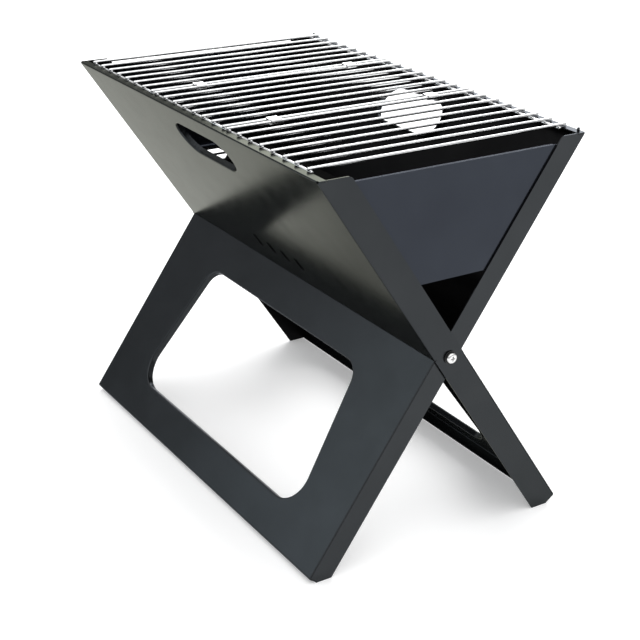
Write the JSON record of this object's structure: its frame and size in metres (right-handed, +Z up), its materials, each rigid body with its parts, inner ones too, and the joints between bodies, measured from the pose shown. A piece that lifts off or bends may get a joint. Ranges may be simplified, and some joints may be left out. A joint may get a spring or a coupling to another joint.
{
  "type": "folding camp grill",
  "caption": "Folding charcoal camp grill: two crossed black sheet-steel frames that pivot at each end, with a lift-out charcoal tray and a hinged chromed wire grate.",
  "frame": {"origin": "on the ground below the middle of the grill, at the bottom centre of its bounding box", "axes": "+Z up; +X along the pivot axis and the long side, towards the near end; the outer frame's wall leans towards -Y and the inner frame's towards +Y"},
  "size_m": [0.4598, 0.2849, 0.3783],
  "materials": {
    "outer_sheet": "satin black powder coat",
    "inner_sheet": "satin black powder coat",
    "end_plate_sheet": "satin blue-black coat",
    "tray_sheet": "matt black heat-resistant coat",
    "grate_wire": "bright chromed wire",
    "grate_clips": "bright plated strip",
    "pivot_hardware": "bright zinc-nickel plate",
    "pivot_washers": "blackened steel"
  },
  "bodies": {
    "outer_frame": {"outer_wall": "outer_sheet", "outer_leg_panel": "outer_sheet", "outer_rail_near": "outer_sheet", "outer_rail_far": "outer_sheet", "pivot_screw_near": "pivot_hardware", "pivot_screw_far": "pivot_hardware", "pivot_nut_near": "pivot_hardware", "pivot_nut_far": "pivot_hardware", "pivot_washer_near": "pivot_washers", "pivot_washer_far": "pivot_washers", "pivot_spacer_near": "pivot_hardware", "pivot_spacer_far": "pivot_hardware"},
    "inner_frame": {"inner_wall": "inner_sheet", "inner_leg_panel": "inner_sheet", "inner_rail_near": "inner_sheet", "inner_rail_far": "inner_sheet"},
    "charcoal_tray": {"charcoal_tray": "tray_sheet", "end_hinge_pin_near": "pivot_hardware", "end_hinge_pin_far": "pivot_hardware"},
    "near_end_plate": {"end_plate_near": "end_plate_sheet"},
    "far_end_plate": {"end_plate_far": "end_plate_sheet"},
    "middle_grate": {"grate_middle": "grate_wire", "grate_clip_near_left": "grate_clips", "grate_clip_near_right": "grate_clips", "grate_clip_far_left": "grate_clips", "grate_clip_far_right": "grate_clips"},
    "near_grate_flap": {"grate_near": "grate_wire"},
    "far_grate_flap": {"grate_far": "grate_wire"}
  },
  "joints": [
    {"name": "frame_fold", "type": "hinge", "parent": "outer_frame", "child": "inner_frame", "pos_m": [0, 0, 0.1905], "axis": [1, 0, 0], "range_deg": [0, 69]},
    {"name": "tray_lift", "type": "slide", "parent": "outer_frame", "child": "charcoal_tray", "axis": [0, 0, 1], "range_m": [0, 0.56]},
    {"name": "grate_lift", "type": "slide", "parent": "outer_frame", "child": "middle_grate", "axis": [0, 0, 1], "range_m": [0, 0.74]},
    {"name": "end_plate_fold_near", "type": "hinge", "parent": "charcoal_tray", "child": "near_end_plate", "pos_m": [0.2172, 0, 0.2661], "axis": [0, -1, 0], "range_deg": [0, 90]},
    {"name": "end_plate_fold_far", "type": "hinge", "parent": "charcoal_tray", "child": "far_end_plate", "pos_m": [-0.2172, 0, 0.2661], "axis": [0, 1, 0], "range_deg": [0, 90]},
    {"name": "near_flap_lift", "type": "hinge", "parent": "middle_grate", "child": "near_grate_flap", "pos_m": [0.0681, 0, 0.3758], "axis": [0, -1, 0], "range_deg": [0, 100]},
    {"name": "far_flap_lift", "type": "hinge", "parent": "middle_grate", "child": "far_grate_flap", "pos_m": [-0.0775, 0, 0.3758], "axis": [0, 1, 0], "range_deg": [0, 100]}
  ],
  "couplings": [
    {"joint": "tray_lift", "follows": "frame_fold", "m_per_rad": 0.45},
    {"joint": "grate_lift", "follows": "frame_fold", "m_per_rad": 0.6},
    {"joint": "end_plate_fold_near", "follows": "frame_fold", "ratio": 1.3},
    {"joint": "end_plate_fold_far", "follows": "frame_fold", "ratio": 1.3}
  ]
}
